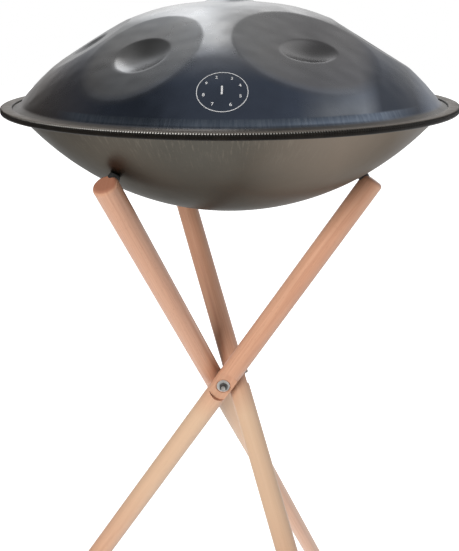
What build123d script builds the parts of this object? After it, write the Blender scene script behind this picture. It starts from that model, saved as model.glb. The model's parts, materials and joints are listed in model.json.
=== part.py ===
"""Handpan resting on a folding three-legged beech stand. Millimetres, +Z up, floor at Z = 0.

The stand is three rods that turn on the radial studs of one three-way hub. They cross
beside each other at the waist, and the handpan sits on rubber bumpers let into their top ends.
"""
from build123d import *
import os
from math import cos, degrees, radians, sin, sqrt

# Handpan
rim_radius = 280.0          # outside of the edge trim
foot_radius = 261.0         # where a shell's curve meets its flat flange
flange_radius = 277.0
dome_rise = 122.0           # flange face to crown, without the ding
bowl_depth = 133.0          # flange face to the lowest point of the bowl
sheet = 1.2                 # nitrided steel
glue_line = 0.4
trim_width = 14.0
trim_height = 7.0
trim_round = 1.8

# Tone fields: eight around the dome, lowest notes at the front, and the ding at the crown
field_half_widths = (84.0, 62.0, 58.0, 52.0, 50.0, 55.0, 60.0, 65.0)    # from front right, by azimuth
field_depth_ratio = 0.92    # half size up the dome over half width along the rim
field_place = 172.0         # centre's distance from the handpan's axis
front_gap = 11.5            # degrees between the two front fields' borders
first_border = -88.0        # azimuth where the first field starts
dimple_depth = 3.4
dimple_ratio = 0.45         # dimple size over field size
ding_radius = 30.0
ding_rise = 8.0

# Sound port at the bottom of the bowl
port_radius = 48.0
port_neck = 14.0

# Stand
leg_tilt = 33.6             # from vertical, when open
rod_radius = 15.0
waist = 20.0                # hub axis to rod axis
leg_below = 800.0           # pivot to the rod's lower end
tip_clearance = 15.0        # bowl to the rod's axis, where the rod is cut off
tip_round = 5.0
rim_above_hub = 386.0
pan_offset = (10.5, 3.5)    # the handpan is set down a little off the hub's axis
leg_azimuths = {"front": -90.0, "left": 150.0, "right": 30.0}

# Bumpers and feet
bumper_radius = 7.0
bumper_seat = 3.5           # how deep a bumper sits in its rod
bumper_below_tip = 10.0
bumper_gap = 0.3            # left between bumper and bowl
foot_wall = 2.0
foot_overlap = 24.0
foot_sole = 3.0             # least rubber between rod and floor

# Hub, studs and hardware; places along a stud are distances from the hub's axis
stud_radius = 3.0
stud_end = 40.0
bore_clearance = 0.06
hub_flat = 6.6
hub_corner = 8.0
hub_height = 12.0
hub_turn = -30.0            # turns a flat of the three-sided block to face each stud
inner_face = 8.0            # bottom of the leg's inner spot face
inner_face_radius = 11.0
outer_face = 28.0           # bottom of the leg's outer spot face
outer_face_radius = 21.0
recess = 1.5                # counterbore for the outer washer
recess_radius = 10.5
washer_gap = 0.2
inner_washer = 1.2
inner_washer_radius = 7.0
outer_washer = 1.6
outer_washer_radius = 9.0
nut_height = 6.5
nut_flats = 10.0

# Worked out
stack = 2 * sheet + glue_line
rod_end_height = foot_sole + rod_radius * sin(radians(leg_tilt))
hub_z = leg_below * cos(radians(leg_tilt)) + rod_end_height
pan_centre = Vector(pan_offset[0], pan_offset[1], hub_z + rim_above_hub)


def cap_radius(foot, height):
    """Radius of the sphere whose cap has this foot radius and height."""
    return (foot * foot + height * height) / (2 * height)


dome_radius = cap_radius(foot_radius, dome_rise)
bowl_radius = cap_radius(foot_radius, bowl_depth)
bowl_centre = pan_centre + Vector(0, 0, bowl_radius - bowl_depth - stack / 2)


# ---------------------------------------------------------------- handpan
def ring(outer, inner, low, high):
    """A flat ring about Z between two heights."""
    body = Cylinder(outer, high - low, align=(Align.CENTER, Align.CENTER, Align.MIN))
    hole = Cylinder(inner, high - low, align=(Align.CENTER, Align.CENTER, Align.MIN))
    return Pos(0, 0, low) * (body - hole)


def tone_fields():
    """Each field's plane through the dome sphere's centre, facing the field, and its radius."""
    half_angles = [degrees(width / field_place) for width in field_half_widths]
    gap = (360 - front_gap - 2 * sum(half_angles)) / (len(half_angles) - 1)
    lean = field_place / dome_radius
    border = first_border
    fields = []
    for width, half_angle in zip(field_half_widths, half_angles):
        azimuth = radians(border + half_angle)
        border += 2 * half_angle + gap
        normal = Vector(lean * cos(azimuth), lean * sin(azimuth), sqrt(1 - lean * lean))
        fields.append((Plane(origin=(0, 0, 0), z_dir=normal), width * sqrt(field_depth_ratio)))
    return fields


def cap_sag(radius, chord):
    """How far a sphere falls below its crown at this distance from the axis."""
    return radius - sqrt(radius * radius - chord * chord)


def dome_form(inset):
    """The dome's solid form about its sphere's centre, moved in by inset along its normals."""
    form = Sphere(dome_radius - inset)
    ding_ball = cap_radius(ding_radius, ding_rise + cap_sag(dome_radius, ding_radius))
    form += Pos(0, 0, dome_radius + ding_rise - ding_ball) * Sphere(ding_ball - inset)
    for frame, field_radius in tone_fields():
        flat = dome_radius - cap_sag(dome_radius, field_radius)
        field = Cylinder(field_radius + 10, 30, align=(Align.CENTER, Align.CENTER, Align.MIN))
        form -= frame * (Pos(0, 0, flat - inset) * field)
        dimple_ball = cap_radius(field_radius * dimple_ratio, dimple_depth)
        form -= frame * (Pos(0, 0, flat - dimple_depth + dimple_ball) * Sphere(dimple_ball + inset))
    return form


def above(height):
    """Everything over a height."""
    return Pos(0, 0, height) * Box(2000, 2000, 2000, align=(Align.CENTER, Align.CENTER, Align.MIN))


def top_shell():
    low = glue_line / 2
    face = low + sheet
    centre = Pos(0, 0, face + dome_rise - dome_radius)
    outer = centre * dome_form(0) & above(low)
    inner = centre * dome_form(sheet)
    flange = ring(flange_radius, foot_radius - 8, low, face)
    return flange + outer - inner


def bottom_shell():
    high = -glue_line / 2
    face = high - sheet
    centre = Pos(0, 0, face - bowl_depth + bowl_radius)
    below = Pos(0, 0, high - 2000) * above(0)
    outer = (centre * Sphere(bowl_radius)) & below
    inner = centre * Sphere(bowl_radius - sheet)
    flange = ring(flange_radius, foot_radius - 8, face, high)
    lip = face - bowl_depth + cap_sag(bowl_radius, port_radius + sheet)
    neck = ring(port_radius + sheet, port_radius, lip, lip + port_neck)
    mouth = Pos(0, 0, lip) * Cylinder(port_radius + sheet / 2, 20)
    return flange + (outer - inner - mouth) + neck


def rim_trim():
    inner = rim_radius - trim_width
    section = Pos((inner + rim_radius) / 2, 0) * RectangleRounded(trim_width, trim_height, trim_round)
    slot = Pos((inner + flange_radius) / 2 - 1, 0) * Rectangle(flange_radius - inner + 2, stack)
    return revolve(Plane.XZ * (section - slot), Axis.Z)


def rim_adhesive():
    return ring(flange_radius - 1, foot_radius + 1, -glue_line / 2, glue_line / 2)


# ---------------------------------------------------------------- stand
def leg_plane(azimuth):
    """Frame of a leg: X outward along its stud, Z up along the rod, origin at the waist."""
    a = radians(azimuth)
    tilt = radians(leg_tilt)
    outward = Vector(cos(a), sin(a), 0)
    upward = Vector(-sin(a) * sin(tilt), cos(a) * sin(tilt), cos(tilt))
    return Plane(origin=outward * waist + Vector(0, 0, hub_z), x_dir=outward, z_dir=upward)


def leg_above(frame):
    """Rod length above the pivot: up to where its axis is tip_clearance from the bowl."""
    away = frame.origin - bowl_centre
    along = away.dot(frame.z_dir)
    reach = bowl_radius + tip_clearance
    return -along - sqrt(along * along - away.dot(away) + reach * reach)


def bumper_form(frame):
    """A round bumper between bowl and rod, square to the bowl, let into the rod near its tip."""
    seat = frame.origin + frame.z_dir * (leg_above(frame) - bumper_below_tip)
    away = bowl_centre - seat
    towards = away.normalized()
    slope = towards.dot(frame.z_dir)
    rod_side = rod_radius / sqrt(1 - slope * slope)
    length = away.length - bowl_radius - bumper_gap - rod_side + bumper_seat
    top = bowl_centre - towards * (bowl_radius + bumper_gap)
    form = Cylinder(bumper_radius, length, align=(Align.CENTER, Align.CENTER, Align.MAX))
    return Plane(origin=top, z_dir=towards) * form


def along_stud(start, end, radius):
    """A cylinder along a leg frame's X between two distances from the hub's axis."""
    plane = Plane(origin=(start - waist, 0, 0), z_dir=(1, 0, 0))
    return plane * Cylinder(radius, end - start, align=(Align.CENTER, Align.CENTER, Align.MIN))


def round_rod(frame):
    """The plain rod in its own frame, with its two ends eased."""
    length = leg_below + leg_above(frame)
    rod = Pos(0, 0, -leg_below) * Cylinder(rod_radius, length, align=(Align.CENTER, Align.CENTER, Align.MIN))
    return fillet(rod.edges().filter_by(GeomType.CIRCLE).sort_by(Axis.Z)[-1], tip_round)


def leg(azimuth):
    frame = leg_plane(azimuth)
    rod = round_rod(frame)
    rod -= along_stud(outer_face, outer_face + 20, outer_face_radius)
    rod -= along_stud(outer_face - recess, outer_face + 1, recess_radius)
    rod -= along_stud(inner_face - 20, inner_face, inner_face_radius)
    rod -= along_stud(0, outer_face, stud_radius + bore_clearance)
    return frame * rod - bumper_form(frame)


def tip_bumper(azimuth):
    return bumper_form(leg_plane(azimuth))


def rubber_foot(azimuth):
    frame = leg_plane(azimuth)
    top = -leg_below + foot_overlap
    align = (Align.CENTER, Align.CENTER, Align.MAX)
    sleeve = Pos(0, 0, top) * Cylinder(rod_radius + foot_wall, foot_overlap + 40, align=align)
    sleeve -= Pos(0, 0, top) * Cylinder(rod_radius, foot_overlap, align=align)
    return (frame * sleeve) & above(0)


def tri_stud_hub():
    """A three-sided block with three studs cut from one piece of steel."""
    block = extrude(RegularPolygon(hub_flat, 3, major_radius=False), hub_height / 2, both=True)
    block &= Cylinder(hub_corner, hub_height)
    hub = Pos(0, 0, hub_z) * Rot(0, 0, hub_turn) * block
    for azimuth in leg_azimuths.values():
        hub += leg_plane(azimuth) * along_stud(0, stud_end, stud_radius)
    return hub


def friction_washer(azimuth):
    washer = along_stud(hub_flat, hub_flat + inner_washer, inner_washer_radius)
    washer -= along_stud(0, stud_end, stud_radius)
    return leg_plane(azimuth) * washer


def nut_seat():
    return outer_face - recess + washer_gap


def nut_washers():
    solids = []
    for azimuth in leg_azimuths.values():
        washer = along_stud(nut_seat(), nut_seat() + outer_washer, outer_washer_radius)
        solids.append(leg_plane(azimuth) * (washer - along_stud(0, stud_end, stud_radius)))
    return Compound(solids)


def stud_nuts():
    solids = []
    low = nut_seat() + outer_washer
    plane = Plane(origin=(low - waist, 0, 0), z_dir=(1, 0, 0))
    for azimuth in leg_azimuths.values():
        nut = plane * extrude(RegularPolygon(nut_flats / 2, 6, major_radius=False), nut_height)
        solids.append(leg_plane(azimuth) * (nut - along_stud(0, stud_end, stud_radius)))
    return Compound(solids)


# ---------------------------------------------------------------- assembly
parts = {
    "tri_stud_hub": tri_stud_hub(),
    "nut_washers": nut_washers(),
    "stud_nuts": stud_nuts(),
}
for name, piece in (("top_shell", top_shell()), ("bottom_shell", bottom_shell()),
                    ("rim_trim", rim_trim()), ("rim_adhesive", rim_adhesive())):
    parts[name] = Pos(*pan_centre) * piece
for name, azimuth in leg_azimuths.items():
    parts["leg_" + name] = leg(azimuth)
    parts["tip_bumper_" + name] = tip_bumper(azimuth)
    parts["rubber_foot_" + name] = rubber_foot(azimuth)
    parts["friction_washer_" + name] = friction_washer(azimuth)

whole = Compound([piece for piece in parts.values()]).bounding_box()
to_origin = Pos(-whole.center().X, -whole.center().Y, 0)

os.makedirs("parts", exist_ok=True)
for name, piece in parts.items():
    export_step(to_origin * piece, os.path.join("parts", name + ".step"))
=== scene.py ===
"""Looks of a handpan and its folding beech stand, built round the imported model, in metres."""
import json
from math import asin, cos, radians, sin, sqrt, tau

import bmesh
import bpy
import numpy as np
from mathutils import Matrix, Vector


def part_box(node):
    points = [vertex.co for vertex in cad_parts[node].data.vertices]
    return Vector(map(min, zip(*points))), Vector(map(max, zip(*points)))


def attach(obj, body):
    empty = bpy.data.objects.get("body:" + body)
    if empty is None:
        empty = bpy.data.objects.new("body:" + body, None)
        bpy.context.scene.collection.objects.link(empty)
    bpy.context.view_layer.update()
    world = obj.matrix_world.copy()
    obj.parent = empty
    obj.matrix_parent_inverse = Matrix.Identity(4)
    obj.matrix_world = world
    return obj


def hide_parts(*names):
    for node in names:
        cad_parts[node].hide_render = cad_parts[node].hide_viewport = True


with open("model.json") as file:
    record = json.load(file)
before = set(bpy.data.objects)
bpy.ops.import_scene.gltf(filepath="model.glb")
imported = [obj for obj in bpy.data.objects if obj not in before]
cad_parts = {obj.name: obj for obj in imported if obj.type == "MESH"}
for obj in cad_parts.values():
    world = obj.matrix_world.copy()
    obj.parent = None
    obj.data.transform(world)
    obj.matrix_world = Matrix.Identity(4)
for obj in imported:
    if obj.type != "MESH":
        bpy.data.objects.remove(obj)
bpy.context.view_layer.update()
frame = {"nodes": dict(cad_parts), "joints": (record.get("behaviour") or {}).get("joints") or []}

# ---------------------------------------------------------------- places read from the frame
joints = {joint["name"]: joint for joint in frame["joints"]}
hub = Vector(joints["leg_front_fold"]["pos_m"])
tilt = radians(joints["leg_front_fold"]["range_deg"][1])
leg_names = ("front", "left", "right")
outward = {name: Vector(joints[f"leg_{name}_fold"]["axis"]) for name in leg_names}

trim_low, trim_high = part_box("rim_trim")
pan = (trim_low + trim_high) / 2            # on the handpan's axis, midway up its rim
rim_radius = (trim_high.x - trim_low.x) / 2
trim_height = trim_high.z - trim_low.z
flange_radius = (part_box("top_shell")[1].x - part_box("top_shell")[0].x) / 2
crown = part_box("top_shell")[1].z - pan.z
bowl_bottom = pan.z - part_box("bottom_shell")[0].z

# ---------------------------------------------------------------- sizes that the frame doesn't hold
sheet = 0.0012
half_glue = 0.0002
foot_radius = 0.261
ding_rise = 0.008
trim_width = 0.014
waist = 0.020               # hub's axis to rod's axis
rod_radius = 0.015
stud_radius = 0.003
stud_end = 0.0400           # hub's axis to the stud's end
thread_pitch = 0.001
thread_depth = 0.00045
hub_flat = 0.0066
hub_corner = 0.008
hub_height = 0.012
washer_seat = 0.0267        # hub's axis to the outer washer
washer_height = 0.0016
washer_radius = 0.009
nut_height = 0.0065
nut_flats = 0.010
bumper_radius = 0.007
bumper_gap = 0.0003
foot_wall = 0.002
foot_overlap = 0.024
foot_sole = 0.003           # least rubber between rod and floor
boot_ribs = 5
boot_rib_pitch = 0.0030
leg_below = (hub.z - foot_sole - rod_radius * sin(tilt)) / cos(tilt)


def cap_radius(foot, height):
    """Radius of the sphere whose cap has this foot radius and height."""
    return (foot * foot + height * height) / (2 * height)


dome_face = half_glue + sheet
dome_rise = crown - ding_rise - dome_face
dome_radius = cap_radius(foot_radius, dome_rise)


# ---------------------------------------------------------------- frames of the stand
def leg_matrix(axis):
    """Frame of a leg: X outward along its stud, Z up along the rod, origin on the hub's axis."""
    upward = axis.cross(Vector((0, 0, 1))) * -sin(tilt) + Vector((0, 0, cos(tilt)))
    across = upward.cross(axis)
    rows = Matrix((axis, across, upward)).transposed()
    return Matrix.Translation(hub) @ rows.to_4x4()


def stud_matrix(axis):
    """Frame with Z outward along a stud and its origin on the hub's axis."""
    return Matrix.Translation(hub) @ axis.to_track_quat("Z", "Y").to_matrix().to_4x4()


# ---------------------------------------------------------------- mesh helpers
def mesh_object(name, points, faces, crease=None):
    """A smooth-shaded mesh; edges that turn by more than crease degrees stay sharp."""
    mesh = bpy.data.meshes.new(name)
    mesh.from_pydata([tuple(point) for point in points], [], faces)
    mesh.polygons.foreach_set("use_smooth", [True] * len(mesh.polygons))
    if crease:
        shape = bmesh.new()
        shape.from_mesh(mesh)
        for edge in shape.edges:
            edge.smooth = edge.calc_face_angle(0.0) < radians(crease)
        shape.to_mesh(mesh)
        shape.free()
    mesh.update()
    piece = bpy.data.objects.new(name, mesh)
    bpy.context.scene.collection.objects.link(piece)
    return piece


def ring_faces(rings, count, start=0, wrap=False):
    """Quads between consecutive rings of count points; wrap joins the last ring to the first."""
    faces = []
    last = rings if wrap else rings - 1
    for row in range(last):
        near = start + row * count
        far = start + ((row + 1) % rings) * count
        for step in range(count):
            turn = (step + 1) % count
            faces.append((near + step, near + turn, far + turn, far + step))
    return faces


def fan_faces(ring_start, count, pole, flip=False):
    """Triangles between a ring of count points and a pole."""
    faces = []
    for step in range(count):
        turn = (step + 1) % count
        face = (ring_start + step, ring_start + turn, pole)
        faces.append(face[::-1] if flip else face)
    return faces


def revolve(profile, count):
    """Points of a profile of (radius, height) turned about Z, ring by ring."""
    angles = np.arange(count) * tau / count
    rings = []
    for reach, height in profile:
        rings.append(np.stack([reach * np.cos(angles), reach * np.sin(angles), np.full(count, height)], 1))
    return np.concatenate(rings)


def place(points, frame_matrix):
    """Points taken from a local frame to the model's frame."""
    rotation = np.array(frame_matrix.to_3x3())
    return np.asarray(points) @ rotation.T + np.array(frame_matrix.translation)


def even_rings(profile, count):
    """Rings for turned, each with one radius all round; a height may still vary with the angle."""
    return [(np.full(count, reach), height) for reach, height in profile]


def turned(rings, matrix=Matrix(), bored=False):
    """A closed skin through rings of (radii by angle, height); its ends are fans, or joined if bored."""
    count = len(rings[0][0])
    angles = np.arange(count) * tau / count
    points = []
    for radii, heights in rings:
        level = np.broadcast_to(heights, count)
        points.append(np.stack([radii * np.cos(angles), radii * np.sin(angles), level], 1))
    faces = ring_faces(len(rings), count, wrap=bored)
    if not bored:
        total = len(rings) * count
        faces += fan_faces(0, count, total, flip=True)
        faces += fan_faces(total - count, count, total + 1)
        points += [np.array([[0, 0, np.mean(rings[end][1])]]) for end in (0, -1)]
    return place(np.concatenate(points), matrix), faces


def looped(profile, count, matrix=Matrix()):
    """A closed profile of (radius, height) turned into a ring about the matrix's Z."""
    return place(revolve(profile, count), matrix), ring_faces(len(profile), count, wrap=True)


def joined(name, shells, crease=None):
    """One object from several closed skins."""
    points = []
    faces = []
    start = 0
    for shell_points, shell_faces in shells:
        points.append(shell_points)
        faces += [tuple(corner + start for corner in face) for face in shell_faces]
        start += len(shell_points)
    return mesh_object(name, np.concatenate(points), faces, crease)


def arc(centre, radius, start, end, steps):
    """Points of an arc in the (radius, height) plane, angles in degrees."""
    angles = np.radians(np.linspace(start, end, steps))
    return [(centre[0] + radius * cos(a), centre[1] + radius * sin(a)) for a in angles]


# ---------------------------------------------------------------- the dome's surface
# One row for each tone field, anticlockwise from the front right: half width, depth over width, the centre's
# distance from the axis, the dimple's half width and the dimple's depth over width.
tone_field_rows = (
    (0.084, 0.92, 0.172, 0.036, 0.62),
    (0.062, 0.92, 0.172, 0.031, 0.86),
    (0.058, 0.92, 0.172, 0.029, 0.88),
    (0.052, 0.92, 0.172, 0.026, 0.88),
    (0.050, 0.92, 0.172, 0.025, 0.88),
    (0.055, 0.92, 0.172, 0.028, 0.88),
    (0.060, 0.92, 0.172, 0.030, 0.88),
    (0.065, 1.16, 0.181, 0.033, 0.92),
)
spacing_radius = 0.172      # where the fields' widths are laid out round the dome
front_gap = radians(11.5)
first_border = radians(-88.0)
border_softness = 0.022
mask_slope = 2.2            # how fast a field's tone fades at its border
mask_edge = 0.35            # the tone's strength at the border
flattening = 0.92
dimple_depth = 0.0062
dimple_softness = 0.035
ding_field = 0.078
ding_sink = 0.0022
ding_dome = 0.030
ding_softness = 0.08
hammer_waves = 26
hammer_wave_range = (110, 330)      # radians per metre
hammer_height = 0.000018
wall_height = 0.011         # the dome's foot stands steeper below this height over the flange
wall_curve = 31.6
flare_height = 0.005        # the foot sweeps out to the trim below this height
flare_curve = 325.0


def tone_fields():
    """Centre, directions along the rim and up the dome, half sizes and dimple half sizes of each field."""
    half_angles = [row[0] / spacing_radius for row in tone_field_rows]
    gap = (tau - front_gap - 2 * sum(half_angles)) / (len(half_angles) - 1)
    border = first_border
    fields = []
    for (width, ratio, reach, dimple, dimple_ratio), half_angle in zip(tone_field_rows, half_angles):
        azimuth = border + half_angle
        border += 2 * half_angle + gap
        lean = asin(reach / dome_radius)
        centre = np.array([sin(lean) * cos(azimuth), sin(lean) * sin(azimuth), cos(lean)])
        along = np.array([-sin(azimuth), cos(azimuth), 0.0])
        sizes = (width, width * ratio, dimple, dimple * dimple_ratio)
        fields.append((centre, along, np.cross(centre, along), sizes))
    return fields


def soft_cap(value, softness):
    """max(value, 0) with its corner rounded."""
    return (value + np.sqrt(value * value + softness * softness)) / 2


def hammer_marks(points):
    """Faint unevenness left by the hammer, as a sum of seeded waves."""
    rng = np.random.default_rng(11)
    total = np.zeros(len(points))
    for _ in range(hammer_waves):
        wave = rng.normal(size=3)
        wave *= rng.uniform(*hammer_wave_range) / np.linalg.norm(wave)
        total += np.sin(points @ wave + rng.uniform(0, tau))
    return total * hammer_height


def dome_surface(radius, angle):
    """Outer points at distances and azimuths about the axis, their normals and a mask of the fields."""
    height = np.sqrt(dome_radius ** 2 - radius ** 2)
    ball = np.stack([radius * np.cos(angle), radius * np.sin(angle), height], 1)
    normal = ball / dome_radius
    push = hammer_marks(ball)
    inside = np.zeros(len(ball))
    for centre, along, upward, (width, depth, dimple_width, dimple_length) in tone_fields():
        offset = ball - centre * dome_radius
        a = offset @ along
        b = offset @ upward
        near = normal @ centre > 0.8
        spread = 1 - (a / width) ** 2 - (b / depth) ** 2
        sag = flattening * width * depth / (2 * dome_radius)
        push -= near * sag * soft_cap(spread, border_softness)
        dimple = 1 - (a / dimple_width) ** 2 - (b / dimple_length) ** 2
        push -= near * dimple_depth * soft_cap(dimple, dimple_softness)
        inside = np.maximum(inside, near * np.clip(spread * mask_slope + mask_edge, 0, 1))
    reach = np.hypot(ball[:, 0], ball[:, 1])
    push -= ding_sink * soft_cap(1 - (reach / ding_field) ** 2, border_softness)
    push += ding_rise * soft_cap(1 - (reach / ding_dome) ** 2, ding_softness)
    points = ball + normal * push[:, None]
    points[:, 2] += dome_face + dome_rise - dome_radius
    return points, normal, inside


def dome_grid(radii, angles):
    """The dome's surface over every pair of a distance and an azimuth, ring by ring."""
    radius, angle = np.meshgrid(radii, angles, indexing="ij")
    return dome_surface(radius.ravel(), angle.ravel())


# ---------------------------------------------------------------- shells
dome_columns = 600
dome_rings = 150
inner_rings = 44
wall_rings = 8


def wall_start():
    """Distance from the axis where the dome's steeper foot begins."""
    depth = dome_radius - dome_rise + wall_height
    return sqrt(dome_radius ** 2 - depth ** 2)


def wall_profile():
    """The foot as (distance from the axis, height over the flange): steep, then swept out to the trim."""
    slope = (dome_radius - dome_rise + wall_height) / wall_start()
    steep = wall_height - flare_height
    profile = []
    for drop in np.linspace(0.0006, steep, wall_rings):
        profile.append((wall_start() + slope * drop - wall_curve * drop ** 2, wall_height - drop))
    start = profile[-1][0]
    slope -= 2 * wall_curve * steep
    for drop in np.linspace(0.0006, flare_height - 0.0001, wall_rings):
        profile.append((start + slope * drop + flare_curve * drop ** 2, flare_height - drop))
    return profile


def top_shell():
    """Dome, steep foot, flange and inner face as one closed skin."""
    angles = np.arange(dome_columns) * tau / dome_columns
    outer, _, inside = dome_grid(np.linspace(0.0016, wall_start(), dome_rings), angles)
    wall = [(reach, dome_face + height) for reach, height in wall_profile()]
    root = wall[wall_rings - 1][0]
    flange = [(flange_radius - 0.0002, dome_face), (flange_radius, dome_face - sheet / 2),
              (flange_radius - 0.0002, half_glue), (root, half_glue), (root - sheet, 0.0024),
              (root - 0.0020, dome_face + flare_height)]
    turned_part = wall + flange
    inner, normal, _ = dome_grid(np.linspace(wall_start() - 0.0012, 0.003, inner_rings), angles)
    points = np.concatenate([outer, revolve(turned_part, dome_columns), inner - normal * sheet])
    rings = dome_rings + len(turned_part) + inner_rings
    top, _, _ = dome_grid([0.0], [0.0])
    poles = np.array([top[0], top[0] - [0, 0, sheet]])
    faces = ring_faces(rings, dome_columns)
    faces += fan_faces(0, dome_columns, len(points), flip=True)
    faces += fan_faces((rings - 1) * dome_columns, dome_columns, len(points) + 1)
    faces = [face[::-1] for face in faces]
    piece = mesh_object("top_shell_formed", np.concatenate([points, poles]) + np.array(pan), faces)
    mask = np.concatenate([inside, np.zeros(len(points) + 2 - len(inside))])
    field = piece.data.attributes.new("field", "FLOAT", "POINT")
    field.data.foreach_set("value", mask)
    return piece


# ---------------------------------------------------------------- note chart
chart_radius = 0.0252
chart_line = 0.00075
chart_place = 0.227         # centre's distance from the handpan's axis
chart_azimuth = radians(-91.7)
chart_lift = 0.00014
chart_angles = (110, 59, 20, -22, -65, -118, -162, 150)


def on_dome(points):
    """Flat chart points laid on the dome: x runs along the rim, y up the dome and z off the surface."""
    x, y, z = np.asarray(points).T
    slope = asin(chart_place / dome_radius)
    radius = chart_place - y * cos(slope)
    laid, normal, _ = dome_surface(radius, chart_azimuth + x / chart_place)
    return laid + normal * (z + chart_lift)[:, None] + np.array(pan)


def numeral(text, size, centre):
    """A flat numeral with a little thickness, about a point of the chart."""
    curve = bpy.data.curves.new("numeral", "FONT")
    curve.body = text
    curve.size = size
    curve.align_x = "CENTER"
    curve.align_y = "CENTER"
    curve.extrude = chart_lift / 2
    curve.offset = size * 0.012
    writer = bpy.data.objects.new("numeral", curve)
    mesh = bpy.data.meshes.new_from_object(writer)
    points = np.array([tuple(vertex.co) for vertex in mesh.vertices]) + (centre[0], centre[1], 0)
    faces = [tuple(face.vertices) for face in mesh.polygons]
    bpy.data.objects.remove(writer)
    bpy.data.meshes.remove(mesh)
    return on_dome(points), faces


def note_chart():
    """A thin ring with plain numerals for the eight outer notes round the one in the middle."""
    half = chart_lift / 2
    profile = [(chart_radius - chart_line, -half), (chart_radius, -half), (chart_radius, half),
               (chart_radius - chart_line, half)]
    points, faces = looped(profile, 160)
    shells = [(on_dome(points), faces), numeral("1", 0.0150, (-0.0004, 0.0))]
    for number, angle in enumerate(chart_angles):
        reach = chart_radius * 0.74
        centre = (reach * cos(radians(angle)), reach * sin(radians(angle)))
        shells.append(numeral(str(number + 2), 0.0052, centre))
    return joined("note_chart", shells)


# ---------------------------------------------------------------- bottom shell and trim
port_radius = 0.048
port_neck = 0.014
bowl_columns = 240
# The port's rolled edge: distances out from port_radius and up from the bowl's lip.
port_roll = ((0.0028, 0.0002), (0.0012, 0.0012), (0.0003, 0.003), (0.0, 0.005), (0.0, port_neck - 0.0003),
             (sheet / 2, port_neck), (sheet, port_neck - 0.0003), (sheet, 0.0052),
             (sheet + 0.0008, 0.0032), (sheet + 0.002, 0.0019))


def bottom_shell():
    """Bowl with a rolled sound port, turned as one closed profile."""
    bowl_depth = bowl_bottom - dome_face
    face = -dome_face
    radius = cap_radius(foot_radius, bowl_depth)
    middle = face - bowl_depth + radius
    lip = middle - sqrt(radius ** 2 - (port_radius + 0.004) ** 2)
    outside = []
    for reach in np.linspace(foot_radius - 0.003, port_radius + 0.0045, 70):
        outside.append((reach, middle - sqrt(radius ** 2 - reach ** 2)))
    inside = []
    for reach in np.linspace(port_radius + 0.0045, foot_radius - 0.004, 70):
        inside.append((reach, middle - sqrt((radius - sheet) ** 2 - reach ** 2)))
    roll = [(port_radius + out, lip + up) for out, up in port_roll]
    profile = [(flange_radius - 0.0002, -half_glue), (flange_radius, face + sheet / 2),
               (flange_radius - 0.0002, face), (foot_radius + 0.003, face),
               (foot_radius + 0.0005, face - 0.0009)]
    profile += outside + roll + inside + [(foot_radius, -half_glue)]
    points = revolve(profile, bowl_columns)
    faces = ring_faces(len(profile), bowl_columns, wrap=True)
    faces = [face[::-1] for face in faces]
    return mesh_object("bottom_shell_formed", points + np.array(pan), faces)


rib_count = 640
rib_steps = 6
rib_depth = 0.0005
groove_depth = 0.0007       # parts the upper ribs from the lower
# Painted glint: the upper rib tips are painted pale in a stretch round the front left, centred here and
# spread this far.
glint_middle = radians(-108)
glint_spread = radians(24)


def rim_trim():
    """U-shaped edge trim with two rows of fine ribs, the upper rib tips painted bright in one stretch as a
    painted glint.
    """
    half = trim_height / 2
    inner = rim_radius - trim_width
    slot = dome_face
    corner = 0.0020
    lip = corner * 0.6
    profile = [(inner, slot), (inner, half - lip)]
    profile += arc((inner + lip, half - lip), lip, 160, 100, 3)
    profile += [(inner + trim_width * 0.5, half)]
    first_rib = len(profile)
    profile += arc((rim_radius - corner, half - corner), corner, 90, 0, 7)
    profile += [(rim_radius, 0.0009), (rim_radius - groove_depth, 0.0004),
                (rim_radius - groove_depth, 0.0001), (rim_radius, -0.0004)]
    last_rib = len(profile)
    profile += arc((rim_radius - corner, corner - half), corner, 0, -90, 5)
    profile += [(inner + trim_width * 0.5, -half)]
    profile += arc((inner + lip, lip - half), lip, -100, -160, 3)
    profile += [(inner, -slot), (flange_radius, -slot), (flange_radius, slot)]
    count = rib_count * rib_steps
    angles = np.arange(count) * tau / count
    dent = 0.5 - 0.5 * np.cos(angles * rib_count)
    off_middle = (angles + tau / 2 - glint_middle) % tau - tau / 2
    glint_stretch = np.exp(-off_middle ** 2 / (2 * glint_spread ** 2))
    centre = np.array([(inner + rim_radius) / 2, 0.0])
    rings = []
    painted_glint = []
    for index, (r, z) in enumerate(profile):
        inward = (centre - (r, z)) / np.hypot(*(centre - (r, z)))
        ribbed = first_rib < index < last_rib
        depth = dent * rib_depth * ribbed
        reach = r + depth * inward[0]
        rings.append(np.stack([reach * np.cos(angles), reach * np.sin(angles), z + depth * inward[1]], 1))
        proud = index in (first_rib + 2, first_rib + 3, first_rib + 4)
        painted_glint.append((1 - dent) * glint_stretch * proud)
    faces = [face[::-1] for face in ring_faces(len(profile), count, wrap=True)]
    piece = mesh_object("rim_trim_ribbed", np.concatenate(rings) + np.array(pan), faces)
    glint_attribute = piece.data.attributes.new("painted_glint", "FLOAT", "POINT")
    glint_attribute.data.foreach_set("value", np.concatenate(painted_glint))
    return piece


# ---------------------------------------------------------------- materials
def set_ramp(ramp, stops):
    """Gives a colour ramp these (place, colour or grey level) stops."""
    stops = list(stops)
    for stop, _ in stops[1:-1]:
        ramp.elements.new(stop)
    ramp.elements[0].position = stops[0][0]
    ramp.elements[-1].position = stops[-1][0]
    for element, (_, colour) in zip(ramp.elements, stops):
        element.color = (*colour, 1) if isinstance(colour, tuple) else (colour, colour, colour, 1)


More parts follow.
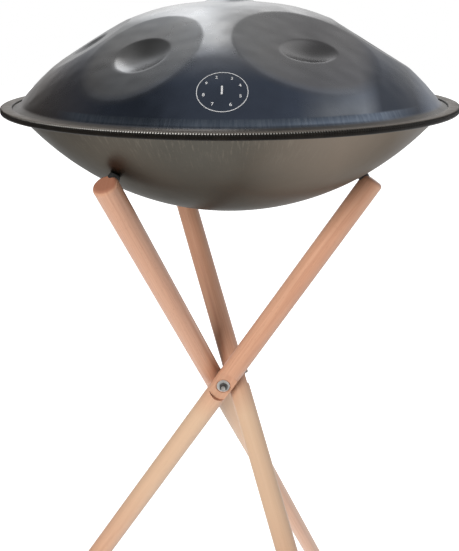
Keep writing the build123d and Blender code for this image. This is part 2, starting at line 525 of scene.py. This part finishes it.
class Shader:
    """A node material with short calls for the nodes used here."""

    def __init__(self, name, **sockets):
        self.material = bpy.data.materials.new(name)
        self.material.use_nodes = True
        self.nodes = self.material.node_tree.nodes
        self.links = self.material.node_tree.links
        self.bsdf = self.nodes["Principled BSDF"]
        for socket, value in sockets.items():
            self.bsdf.inputs[socket.replace("_", " ")].default_value = value

    def link(self, source, target):
        self.links.new(source, target)

    def node(self, kind, settings=None, **inputs):
        """A new node; an input is named by its socket (_ for a space), or by _ and its number."""
        made = self.nodes.new(kind)
        for key, value in (settings or {}).items():
            setattr(made, key, value)
        for key, value in inputs.items():
            socket = made.inputs[int(key[1:]) if key[1:].isdigit() else key.replace("_", " ")]
            if isinstance(value, bpy.types.NodeSocket):
                self.link(value, socket)
            else:
                socket.default_value = value
        return made

    def position(self, rotation=(0, 0, 0), offset=(0, 0, 0), scale=(1, 1, 1)):
        """Object coordinates, moved and turned into a piece's own frame and then stretched."""
        coordinates = self.node("ShaderNodeTexCoord").outputs["Object"]
        moved = self.node("ShaderNodeMapping", {"vector_type": "POINT"}, Vector=coordinates,
                          Location=[-value for value in offset])
        turned = self.node("ShaderNodeMapping", Vector=moved.outputs[0], Rotation=rotation)
        return self.stretch(turned.outputs[0], scale)

    def stretch(self, vector, scale):
        return self.node("ShaderNodeMapping", Vector=vector, Scale=scale).outputs[0]

    def noise(self, vector, scale, detail=3.0, roughness=0.55):
        inputs = {"Scale": scale, "Detail": detail, "Roughness": roughness}
        return self.node("ShaderNodeTexNoise", Vector=vector, **inputs).outputs["Fac"]

    def ramp(self, value, *stops):
        made = self.node("ShaderNodeValToRGB", Fac=value)
        set_ramp(made.color_ramp, stops)
        return made.outputs["Color"]

    def mix(self, share, first, second, blend="MIX"):
        """A blend of two colours; the share and the colours may be sockets or values."""
        made = self.nodes.new("ShaderNodeMix")
        made.data_type = "RGBA"
        made.blend_type = blend
        sockets = (made.inputs["Factor"], made.inputs[6], made.inputs[7])
        for socket, value in zip(sockets, (share, first, second)):
            if isinstance(value, bpy.types.NodeSocket):
                self.link(value, socket)
            elif isinstance(value, tuple):
                socket.default_value = (*value, 1)
            else:
                socket.default_value = value
        return made.outputs[2]

    def math(self, operation, first, second=0.0):
        return self.node("ShaderNodeMath", {"operation": operation}, _0=first, _1=second).outputs[0]

    def times(self, first, second):
        return self.math("MULTIPLY", first, second)

    def bump(self, height, distance, strength=1.0):
        made = self.node("ShaderNodeBump", Height=height, Distance=distance, Strength=strength)
        self.link(made.outputs[0], self.bsdf.inputs["Normal"])

    def set(self, socket, value):
        """Feeds a texture into one of the surface's own sockets."""
        self.link(value, self.bsdf.inputs[socket])


def around_axis(shader):
    """Handpan coordinates: the point, its angle, its distance from the axis and its x and height."""
    spot = shader.position(offset=pan)
    split = shader.node("ShaderNodeSeparateXYZ", Vector=spot).outputs
    turn = shader.math("ARCTAN2", split["Y"], split["X"])
    squares = shader.math("ADD", shader.times(split["X"], split["X"]), shader.times(split["Y"], split["Y"]))
    return spot, turn, shader.math("SQRT", squares), split["X"], split["Z"]


def brushing(shader, turn, height):
    """Streaks that run up and down the shell."""
    around = shader.node("ShaderNodeCombineXYZ", X=turn, Y=0.0, Z=shader.times(height, 0.6))
    return shader.noise(around.outputs[0], 95.0, 4.0, 0.65)


# Ramp stops lie between 0 and 1, so distances in metres are scaled up before they meet a ramp.
side_scale = 4.0
reach_scale = 3.0
foot_scale = 20.0


def top_steel():
    """Nitrided steel: neutral grey tone fields, deep blue below them, painted shade and painted reflections
    on its sides and lower dome, and a brushed foot painted paler as a sheen.
    """
    shader = Shader("nitrided_top", Metallic=1.0, Specular_Tint=(0.8, 0.8, 0.8, 1))
    spot, turn, distance, x, height = around_axis(shader)
    side = shader.times(x, side_scale)
    reach = shader.times(distance, reach_scale)

    cloud = shader.ramp(shader.noise(spot, 6.0, 4.0), (0.35, 0.0), (0.65, 1.0))
    grey = shader.mix(cloud, (0.26, 0.27, 0.285), (0.30, 0.295, 0.29))
    # Painted shade: the grey of the tone fields is darkened towards the right side.
    painted_shade_right = shader.ramp(side, (0.02, 0.0), (0.36, 1.0))
    grey = shader.mix(painted_shade_right, grey, (0.165, 0.162, 0.166))

    low = shader.ramp(reach, (0.50, 0.0), (0.66, 1.0))
    mask = shader.node("ShaderNodeAttribute", {"attribute_name": "field"}).outputs["Fac"]
    bare = shader.math("SUBTRACT", 1.0, shader.times(mask, 0.85))
    blue = (0.115, 0.140, 0.195)
    colour = shader.mix(shader.times(low, bare), grey, blue)

    # Painted reflection: the lower dome's left side is tinted brown.
    left = shader.ramp(shader.times(x, -side_scale / 2), (0.24, 0.0), (0.42, 1.0))
    brown = (0.175, 0.142, 0.12)
    colour = shader.mix(shader.times(shader.times(left, low), 0.85), colour, brown)

    # Painted reflection: a paler patch on the lower dome to the right of the middle.
    patch = shader.ramp(side, (0.26, 0.0), (0.38, 1.0), (0.58, 1.0), (0.68, 0.0))
    patch = shader.times(patch, shader.ramp(reach, (0.66, 0.0), (0.74, 1.0)))
    colour = shader.mix(shader.times(patch, 0.7), colour, (0.30, 0.32, 0.35))
    # Painted shade: the lower dome further right is darkened to navy.
    deep = shader.ramp(side, (0.54, 0.0), (0.62, 1.0), (0.80, 1.0), (0.90, 0.0))
    navy = (0.034, 0.040, 0.054)
    colour = shader.mix(shader.times(shader.times(deep, low), 0.9), colour, navy)

    streaks = brushing(shader, turn, height)
    # Painted sheen: the foot band in the middle of the front and the back is painted paler, with real brushed
    # streaks in it.
    foot = shader.ramp(shader.times(height, foot_scale), (0.23, 1.0), (0.26, 0.0))
    broad = shader.ramp(shader.math("ADD", shader.times(x, side_scale / 2), 0.5),
                        (0.14, 0.0), (0.20, 1.0), (0.80, 1.0), (0.90, 0.0))
    foot = shader.times(foot, broad)
    pale = shader.mix(shader.ramp(streaks, (0.35, 0.0), (0.68, 1.0)), (0.12, 0.15, 0.20), (0.20, 0.235, 0.29))
    colour = shader.mix(foot, colour, pale)
    # Painted shade: the flare and the flange beside the trim are darkened brown.
    flare = shader.ramp(reach, (0.768, 0.0), (0.778, 1.0))
    colour = shader.mix(shader.times(flare, 0.9), colour, (0.085, 0.073, 0.060))

    mottle = shader.ramp(shader.noise(spot, 60.0, 5.0, 0.6), (0.3, 0.9), (0.7, 1.08))
    colour = shader.mix(0.5, colour, mottle, "MULTIPLY")
    shader.set("Base Color", colour)
    shader.set("Roughness", shader.ramp(shader.noise(spot, 18.0, 6.0, 0.65), (0.3, 0.24), (0.75, 0.36)))
    grain = shader.times(shader.noise(spot, 900.0, 2.0), 0.12)
    shader.bump(shader.math("ADD", shader.times(streaks, foot), grain), 0.0003, 0.5)
    return shader.material


def bowl_steel():
    """Nitrided steel, olive brown, painted lighter and warmer to the right as a painted reflection, with
    streaks under the rim.
    """
    shader = Shader("nitrided_bottom", Metallic=1.0, Specular_Tint=(0.45, 0.45, 0.45, 1))
    spot, turn, distance, x, height = around_axis(shader)
    side = shader.times(x, side_scale)
    reach = shader.times(distance, reach_scale)

    cloud = shader.ramp(shader.noise(spot, 5.0, 4.0), (0.36, 0.0), (0.64, 1.0))
    colour = shader.mix(cloud, (0.105, 0.098, 0.084), (0.125, 0.110, 0.090))
    # Painted reflection: the bowl is painted lighter and warmer towards the right.
    right = shader.ramp(side, (0.05, 0.0), (0.45, 1.0), (0.75, 0.75))
    colour = shader.mix(shader.times(right, 0.6), colour, (0.31, 0.25, 0.20))
    # Painted reflection: the far right of the bowl is painted paler still.
    far = shader.ramp(side, (0.68, 0.0), (0.92, 1.0))
    colour = shader.mix(shader.times(far, 0.7), colour, (0.42, 0.40, 0.38))

    streaks = shader.ramp(brushing(shader, turn, height), (0.52, 0.0), (0.72, 1.0))
    marks = shader.times(streaks, shader.ramp(reach, (0.66, 0.0), (0.76, 1.0)))
    colour = shader.mix(shader.times(marks, 0.5), colour, (0.24, 0.21, 0.17))
    shader.set("Base Color", colour)
    shader.set("Roughness", shader.ramp(shader.noise(spot, 16.0, 6.0, 0.65), (0.3, 0.30), (0.75, 0.42)))
    grain = shader.times(shader.noise(spot, 900.0, 2.0), 0.12)
    shader.bump(shader.math("ADD", shader.times(marks, 0.6), grain), 0.0003, 0.4)
    return shader.material


def etched():
    """Pale laser marking with a slightly broken tone."""
    shader = Shader("laser_marking", Metallic=0.2)
    spot = shader.position()
    shader.set("Base Color", shader.ramp(shader.noise(spot, 900.0, 3.0), (0.3, 0.62), (0.7, 0.86)))
    shader.set("Roughness", shader.ramp(shader.noise(spot, 400.0, 3.0), (0.3, 0.40), (0.7, 0.55)))
    return shader.material


# Painted shade: the right rod's wood colours are darkened; the other rods keep theirs.
rod_painted_shade = {"front": 1.0, "left": 1.0, "right": 0.80}
pith_offset = (0.055, 0.03, 0.0)    # from the rod's axis, so growth rings cross the rod as wide bands
wood_tones = ((0.30, (0.57, 0.285, 0.180)), (0.5, (0.645, 0.348, 0.222)), (0.75, (0.70, 0.41, 0.27)))


def beech(name):
    """Lacquered beech with its grain along the rod, painted paler below the hub as painted light, and darker
    on the right rod as painted shade.
    """
    shader = Shader("beech_" + name, Coat_Weight=0.30, Coat_Roughness=0.26, Specular_IOR_Level=0.4)
    matrix = leg_matrix(outward[name])
    spot = shader.position(rotation=matrix.to_3x3().inverted().to_euler(), offset=hub)
    height = shader.node("ShaderNodeSeparateXYZ", Vector=spot).outputs["Z"]

    sway = shader.noise(shader.stretch(spot, (30, 30, 5)), 1.0, 3.0)
    pith = shader.node("ShaderNodeVectorMath", {"operation": "ADD"}, _0=spot, _1=pith_offset).outputs[0]
    ring = shader.node("ShaderNodeVectorMath", {"operation": "LENGTH"},
                       _0=shader.stretch(pith, (1, 1, 0))).outputs["Value"]
    ring = shader.math("ADD", ring, shader.times(sway, 0.006))
    bands = shader.node("ShaderNodeCombineXYZ", X=shader.times(ring, 420.0), Y=0.0,
                        Z=shader.times(height, 3.0)).outputs[0]
    growth = shader.noise(bands, 1.0, 3.0, 0.6)
    woods = [(stop, tuple(rod_painted_shade[name] * part for part in wood)) for stop, wood in wood_tones]
    colour = shader.ramp(growth, *woods)

    fibre = shader.noise(shader.stretch(spot, (900, 900, 26)), 1.0, 3.0, 0.6)
    colour = shader.mix(0.5, colour, shader.ramp(fibre, (0.3, 0.86), (0.7, 1.08)), "MULTIPLY")
    fleck = shader.node("ShaderNodeTexVoronoi", Vector=shader.stretch(spot, (520, 520, 105)), Scale=1.0)
    flecks = shader.ramp(fleck.outputs["Distance"], (0.10, 1.0), (0.22, 0.0))
    colour = shader.mix(shader.times(flecks, 0.32), colour, (0.38, 0.175, 0.10))

    # Painted light: the rods are painted paler below the hub.
    below_hub = shader.times(height, -2.0)
    lower = shader.ramp(below_hub, (0.0, 0.0), (0.12, 0.75), (0.40, 0.65), (0.70, 0.15))
    colour = shader.mix(lower, colour, (0.72, 0.52, 0.35))
    normal = shader.node("ShaderNodeNewGeometry").outputs["Normal"]
    rod_axis = matrix.to_3x3() @ Vector((0, 0, 1))
    along = shader.node("ShaderNodeVectorMath", {"operation": "DOT_PRODUCT"}, _0=normal, _1=rod_axis)
    end_grain = shader.ramp(shader.math("ABSOLUTE", along.outputs["Value"]), (0.55, 0.0), (0.85, 1.0))
    colour = shader.mix(shader.times(end_grain, 0.7), colour, (0.36, 0.13, 0.075))
    shader.set("Base Color", colour)
    shader.set("Roughness", shader.ramp(fibre, (0.3, 0.36), (0.7, 0.48)))
    shader.bump(shader.math("SUBTRACT", fibre, flecks), 0.00010, 0.5)
    return shader.material


def rubber(name, colour, roughness):
    """Moulded rubber with a fine matt skin and dusty patches."""
    shader = Shader(name)
    spot = shader.position()
    dust = shader.noise(spot, 45.0, 5.0)
    dusty = tuple(2.2 * part for part in colour)
    shader.set("Base Color", shader.mix(shader.ramp(dust, (0.35, 0.0), (0.8, 1.0)), colour, dusty))
    shader.set("Roughness", shader.ramp(dust, (0.3, roughness), (0.8, roughness + 0.12)))
    shader.bump(shader.noise(spot, 1400.0, 2.0), 0.0001, 0.4)
    return shader.material


def trim_rubber():
    """Black edge rubber, its upward faces painted brownish as a painted sheen, with pale rib tips painted as
    glints.
    """
    shader = Shader("trim_rubber", Specular_IOR_Level=0.14)
    spot = shader.position()
    dust = shader.noise(spot, 60.0, 5.0)
    dusty = shader.ramp(dust, (0.35, 0.0), (0.8, 1.0))
    colour = shader.mix(dusty, (0.007, 0.006, 0.005), (0.016, 0.013, 0.010))
    normal = shader.node("ShaderNodeNewGeometry").outputs["Normal"]
    facing = shader.node("ShaderNodeSeparateXYZ", Vector=normal)
    # Painted sheen: faces turned upward are painted brownish.
    top = shader.ramp(facing.outputs["Z"], (0.75, 0.0), (0.98, 1.0))
    colour = shader.mix(shader.times(top, 0.9), colour, (0.150, 0.128, 0.106))
    # Painted glint: pale rib tips, from the attribute that rim_trim paints.
    painted_glint = shader.node("ShaderNodeAttribute", {"attribute_name": "painted_glint"}).outputs["Fac"]
    colour = shader.mix(shader.ramp(painted_glint, (0.15, 0.0), (0.8, 1.0)), colour, (0.62, 0.60, 0.56))
    shader.set("Base Color", colour)
    shader.set("Roughness", shader.ramp(dust, (0.3, 0.34), (0.8, 0.48)))
    shader.bump(shader.noise(spot, 1400.0, 2.0), 0.0001, 0.3)
    return shader.material


def plated(name, colour, low, high):
    """Zinc-plated steel, patchy and finely grained, its roughness between low and high."""
    shader = Shader(name, Metallic=0.55)
    spot = shader.position(offset=hub)
    patch = shader.noise(spot, 220.0, 4.0)
    shader.set("Base Color", shader.mix(patch, colour, tuple(0.72 * part for part in colour)))
    shader.set("Roughness", shader.ramp(patch, (0.3, low), (0.7, high)))
    shader.bump(shader.noise(spot, 2600.0, 2.0), 0.00004, 0.4)
    return shader.material


def plastic(name, colour, roughness):
    """Moulded plastic with a faintly uneven skin."""
    shader = Shader(name)
    cloud = shader.noise(shader.position(), 140.0, 4.0)
    shader.set("Base Color", shader.mix(cloud, colour, tuple(0.8 * part for part in colour)))
    shader.set("Roughness", shader.ramp(cloud, (0.3, roughness), (0.7, roughness + 0.12)))
    shader.bump(cloud, 0.00008, 0.3)
    return shader.material


# ---------------------------------------------------------------- stand
def tri_stud_hub():
    """Three-sided block with eased edges, and three studs with rolled threads at their ends."""
    count = 72
    angles = np.arange(count) * tau / count
    stud_angle = np.arctan2(outward["front"].y, outward["front"].x)
    off_flat = (angles - stud_angle + tau / 6) % (tau / 3) - tau / 6
    side = np.minimum(hub_flat / np.cos(off_flat), hub_corner)
    half = hub_height / 2
    ease = 0.0006
    block = [(side - ease, -half), (side, ease - half), (side, half - ease), (side - ease, half)]
    shells = [turned(block, Matrix.Translation(hub))]
    crest = stud_radius - 0.00003
    root = crest - thread_depth
    thread_start = washer_seat - 0.004
    columns = 36
    around = np.arange(columns) / columns
    step = thread_pitch / 8
    for axis in outward.values():
        rings = even_rings([(crest, hub_flat - 0.002), (crest, thread_start)], columns)
        for height in np.arange(thread_start + step, stud_end - 0.0008, step):
            phase = ((height / thread_pitch - around) % 1.0) * 2 - 1
            fade = min(1.0, (height - thread_start) / thread_pitch)
            rings.append((crest - thread_depth * fade * (1 - np.abs(phase)), height))
        rings += even_rings([(root, stud_end - 0.0006), (root - 0.0005, stud_end),
                             (0.0010, stud_end), (0.0007, stud_end - 0.0005)], columns)
        shells.append(turned(rings, stud_matrix(axis)))
    return joined("hub_and_studs", shells, crease=35)


def lock_nuts():
    """Hexagon nuts with chamfered corners and a round collar that holds a nylon ring."""
    count = 96
    angles = np.arange(count) * tau / count
    hexagon = nut_flats / 2 / np.cos((angles + tau / 12) % (tau / 6) - tau / 12)
    face = nut_flats / 2 * 0.97
    corner = nut_flats / 2 / cos(tau / 12)
    chamfer = (corner - face) / sqrt(3)
    hex_top = nut_height * 0.70
    shares = (0.0, 0.25, 0.5, 0.75, 1.0)
    rings = [(np.minimum(hexagon, face + (corner - face) * share), chamfer * share) for share in shares]
    for share in shares[::-1]:
        rings.append((np.minimum(hexagon, face + (corner - face) * share), hex_top - chamfer * share))
    collar = face - 0.0004
    bore = stud_radius + 0.00005
    rings += even_rings([(collar, hex_top + 0.0001), (collar, nut_height - 0.0006),
                         (collar - 0.0002, nut_height - 0.0002), (collar - 0.0006, nut_height),
                         (stud_radius + 0.0008, nut_height), (stud_radius + 0.0006, nut_height - 0.0009),
                         (bore, nut_height - 0.0009), (bore, 0.0)], count)
    seat = Matrix.Translation((0, 0, washer_seat + washer_height))
    shells = [turned(rings, stud_matrix(axis) @ seat, bored=True) for axis in outward.values()]
    return joined("lock_nuts", shells, crease=25)


def around_studs(name, profile, count, crease):
    """The same ring on each stud, as one object."""
    rings = [looped(profile, count, stud_matrix(axis)) for axis in outward.values()]
    return joined(name, rings, crease)


def nylon_inserts():
    """The dark locking rings in the nuts' collars."""
    low = washer_seat + washer_height + nut_height - 0.0012
    inner = stud_radius + 0.0001
    profile = [(inner, low), (inner + 0.0006, low), (inner + 0.0006, low + 0.0007),
               (inner + 0.0002, low + 0.0009), (inner, low + 0.0006)]
    return around_studs("nylon_inserts", profile, 48, crease=40)


def round_washers():
    """Stamped washers with one rolled edge."""
    inner = stud_radius + 0.0002
    top = washer_seat + washer_height
    profile = [(inner, washer_seat), (washer_radius - 0.0002, washer_seat),
               (washer_radius, washer_seat + 0.0002)]
    profile += arc((washer_radius - 0.0005, top - 0.0005), 0.0005, 0, 90, 4)
    profile += [(inner + 0.0003, top), (inner, top - 0.0003)]
    return around_studs("round_washers", profile, 72, crease=50)


def tip_bumper(name):
    """A domed rubber bumper, from its seat in the rod to just short of the bowl."""
    low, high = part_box("tip_bumper_" + name)
    middle = (low + high) / 2
    bowl_depth = bowl_bottom - dome_face
    radius = cap_radius(foot_radius, bowl_depth)
    towards = pan + Vector((0, 0, radius - bowl_bottom)) - middle
    half = towards.length - radius - bumper_gap
    neck = bumper_radius - 0.0004
    dome = neck - 0.0018
    profile = [(bumper_radius - 0.0003, -half), (bumper_radius, 0.0003 - half),
               (bumper_radius, half - 0.0030), (neck, half - 0.0026), (neck, half - 0.0020)]
    profile += arc((dome, half - 0.0018), 0.0018, 0, 90, 6)
    profile += [(0.003, half - 0.0003), (0.002, half - 0.0006)]
    turn = Matrix.Translation(middle) @ towards.to_track_quat("Z", "Y").to_matrix().to_4x4()
    return joined("bumper_" + name, [turned(even_rings(profile, 40), turn)], crease=40)


def rubber_foot(name):
    """A ribbed rubber boot on the rod's lower end, its sole cut level with the floor."""
    matrix = leg_matrix(outward[name]) @ Matrix.Translation((waist, 0, 0))
    count = 72
    angles = np.arange(count) * tau / count
    outer = rod_radius + foot_wall
    top = foot_overlap - leg_below
    slope_x, slope_y, slope_z = matrix[2][:3]

    def sole(radius):
        """Local height of the floor under each point of a ring, a hair above it."""
        flat = radius * (slope_x * np.cos(angles) + slope_y * np.sin(angles))
        return (0.00002 - matrix[2][3] - flat) / slope_z

    profile = [(outer * share, sole(outer * share)) for share in (0.4, 0.8)]
    profile += [(outer - 0.0008, sole(outer - 0.0008)), (outer, sole(outer) + 0.0010)]
    for number in range(boot_ribs):
        rib_low = top - 0.006 - boot_rib_pitch * (boot_ribs - number)
        for depth, rise in ((0.0, 0.0), (0.0008, 0.0004), (0.0008, 0.0012), (0.0, 0.0016)):
            profile.append((outer - depth, np.maximum(rib_low + rise, sole(outer) + 0.0012)))
    inner = rod_radius + 0.00004
    profile += [(outer, top - 0.0008), (outer - 0.0007, top), (rod_radius + 0.0003, top),
                (inner, top - 0.0004), (inner, -leg_below)]
    return joined("rubber_boot_" + name, [turned(even_rings(profile, count), matrix)], crease=35)


# ---------------------------------------------------------------- camera, light and floor
def aim(thing, place_at, target, roll=0.0):
    """Puts a camera or light at a place, looking at the target."""
    direction = (Vector(target) - Vector(place_at)).normalized()
    turn = direction.to_track_quat("-Z", "Y").to_matrix().to_4x4() @ Matrix.Rotation(roll, 4, "Z")
    thing.matrix_world = Matrix.Translation(place_at) @ turn


def camera():
    """A little over the rim's height, about 0.95 m in front of the hub, looking down."""
    lens = bpy.data.cameras.new("camera")
    lens.sensor_width = 36
    lens.lens = 48.41
    eye = bpy.data.objects.new("camera", lens)
    bpy.context.scene.collection.objects.link(eye)
    pitch = radians(19.535)
    yaw = radians(-0.250)
    place_at = hub + Vector((0.0133, -0.9546, 0.4932))
    look = Vector((sin(yaw) * cos(pitch), cos(yaw) * cos(pitch), -sin(pitch)))
    aim(eye, place_at, place_at + look, radians(-0.203))
    bpy.context.scene.camera = eye


def lamp(name, kind, offset, energy, **settings):
    """A light at an offset from the handpan, aimed at it."""
    light = bpy.data.lights.new(name, kind)
    light.energy = energy
    for key, value in settings.items():
        setattr(light, key, value)
    holder = bpy.data.objects.new(name, light)
    bpy.context.scene.collection.objects.link(holder)
    aim(holder, pan + Vector(offset), pan)
    return holder


# The surround's brightness by the cosine of the angle from a direction, for each of three directions.
surround_falls = {
    (0.0, 0.0, 1.0): ((-1.0, 1.15), (-0.3, 1.05), (0.0, 0.9), (0.40, 0.80), (0.62, 0.95),
                      (0.85, 0.38), (1.0, 0.26)),
    (-0.97, 0.0, 0.24): ((0.30, 1.0), (0.50, 0.95), (0.63, 0.22), (1.0, 0.20)),
    (0.0, -1.0, 0.0): ((0.50, 1.0), (0.85, 0.18), (1.0, 0.12)),
}


def surround():
    """White to the eye; as light it is dim overhead, to the upper left and straight in front."""
    world = bpy.data.worlds.new("studio")
    bpy.context.scene.world = world
    world.use_nodes = True
    nodes = world.node_tree.nodes
    links = world.node_tree.links
    way = nodes.new("ShaderNodeTexCoord").outputs["Generated"]
    levels = []
    for direction, stops in surround_falls.items():
        along = nodes.new("ShaderNodeVectorMath")
        along.operation = "DOT_PRODUCT"
        links.new(way, along.inputs[0])
        along.inputs[1].default_value = direction
        share = nodes.new("ShaderNodeMapRange")
        share.inputs["From Min"].default_value = -1.0
        links.new(along.outputs["Value"], share.inputs["Value"])
        ramp = nodes.new("ShaderNodeValToRGB")
        set_ramp(ramp.color_ramp, [((stop + 1) / 2, level) for stop, level in stops])
        links.new(share.outputs[0], ramp.inputs["Fac"])
        levels.append(ramp.outputs["Color"])
    level = levels[0]
    for other in levels[1:]:
        both = nodes.new("ShaderNodeVectorMath")
        both.operation = "MULTIPLY"
        links.new(level, both.inputs[0])
        links.new(other, both.inputs[1])
        level = both.outputs[0]
    seen = nodes.new("ShaderNodeMixShader")
    white = nodes.new("ShaderNodeBackground")
    links.new(nodes.new("ShaderNodeLightPath").outputs["Is Camera Ray"], seen.inputs[0])
    links.new(level, nodes["Background"].inputs["Color"])
    links.new(nodes["Background"].outputs[0], seen.inputs[1])
    white.inputs["Color"].default_value = (1, 1, 1, 1)
    links.new(white.outputs[0], seen.inputs[2])
    links.new(seen.outputs[0], nodes["World Output"].inputs["Surface"])


def studio():
    """A strip overhead, a panel behind, a soft key from the left and a wide pale floor."""
    surround()
    lamp("strip_overhead", "AREA", (-0.24, 1.15, 1.5), 3.3, shape="RECTANGLE", size=0.4, size_y=1.3)
    lamp("panel_behind", "AREA", (0.0, 2.0, 0.95), 4.0, shape="RECTANGLE", size=1.3, size_y=0.9)
    key = lamp("key_left", "SUN", (-0.9, -1.6, 0.62), 2.8, angle=radians(30))
    key.visible_glossy = False
    shader = Shader("floor_paper", Roughness=0.9, Emission_Color=(1, 1, 1, 1), Emission_Strength=0.8)
    shader.set("Base Color", shader.ramp(shader.noise(shader.position(), 3.0), (0.3, 0.90), (0.7, 0.93)))
    reach = 12.0
    corners = [(x * reach, y * reach, 0) for x, y in ((-1, -1), (1, -1), (1, 1), (-1, 1))]
    floor = mesh_object("floor", corners, [(0, 1, 2, 3)])
    floor.data.materials.append(shader.material)
    floor.visible_diffuse = False
    floor.visible_glossy = False
    bpy.context.scene.view_settings.view_transform = "Standard"


# ---------------------------------------------------------------- assembly
def dress(piece, material):
    """Replaces a piece's materials by one."""
    piece.data.materials.clear()
    piece.data.materials.append(material)


def fit(piece, material, body, slot, *replaced):
    """Gives a new piece its material and its body, and hides the CAD nodes that it stands for; slot is not
    used.
    """
    dress(piece, material)
    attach(piece, body)
    if replaced:
        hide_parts(*replaced)


def main():
    """Sets up the studio, dresses the CAD pieces and fits the new ones."""
    camera()
    studio()
    fit(top_shell(), top_steel(), "handpan", "top_steel", "top_shell")
    fit(bottom_shell(), bowl_steel(), "handpan", "bottom_steel", "bottom_shell")
    fit(rim_trim(), trim_rubber(), "handpan", "trim_rubber", "rim_trim")
    fit(note_chart(), etched(), "handpan", "top_steel")
    # One zinc plating painted three ways: lighter on the washers as painted light and darker on the nuts as
    # painted shade.
    zinc = plated("zinc_plate", (0.66, 0.65, 0.62), 0.26, 0.40)
    shaded_nut_plate = plated("shaded_nut_plate", (0.13, 0.125, 0.12), 0.24, 0.38)
    lit_washer_plate = plated("lit_washer_plate", (0.88, 0.87, 0.84), 0.30, 0.44)
    fit(tri_stud_hub(), zinc, "hub", "plated_steel", "tri_stud_hub")
    fit(lock_nuts(), shaded_nut_plate, "hub", "plated_steel", "stud_nuts")
    fit(round_washers(), lit_washer_plate, "hub", "plated_steel", "nut_washers")
    fit(nylon_inserts(), plastic("dark_nylon", (0.03, 0.03, 0.035), 0.4), "hub", "nylon")
    bumper = rubber("bumper_rubber", (0.025, 0.025, 0.025), 0.5)
    boot = rubber("foot_rubber", (0.02, 0.02, 0.02), 0.5)
    nodes = frame["nodes"]
    dress(nodes["rim_adhesive"], plastic("glue", (0.08, 0.08, 0.08), 0.5))
    nylon = plastic("nylon", (0.80, 0.79, 0.74), 0.4)
    for name in leg_names:
        dress(nodes["leg_" + name], beech(name))
        dress(nodes["friction_washer_" + name], nylon)
        fit(tip_bumper(name), bumper, "leg_" + name, "bumper_rubber", "tip_bumper_" + name)
        fit(rubber_foot(name), boot, "leg_" + name, "foot_rubber", "rubber_foot_" + name)


main()
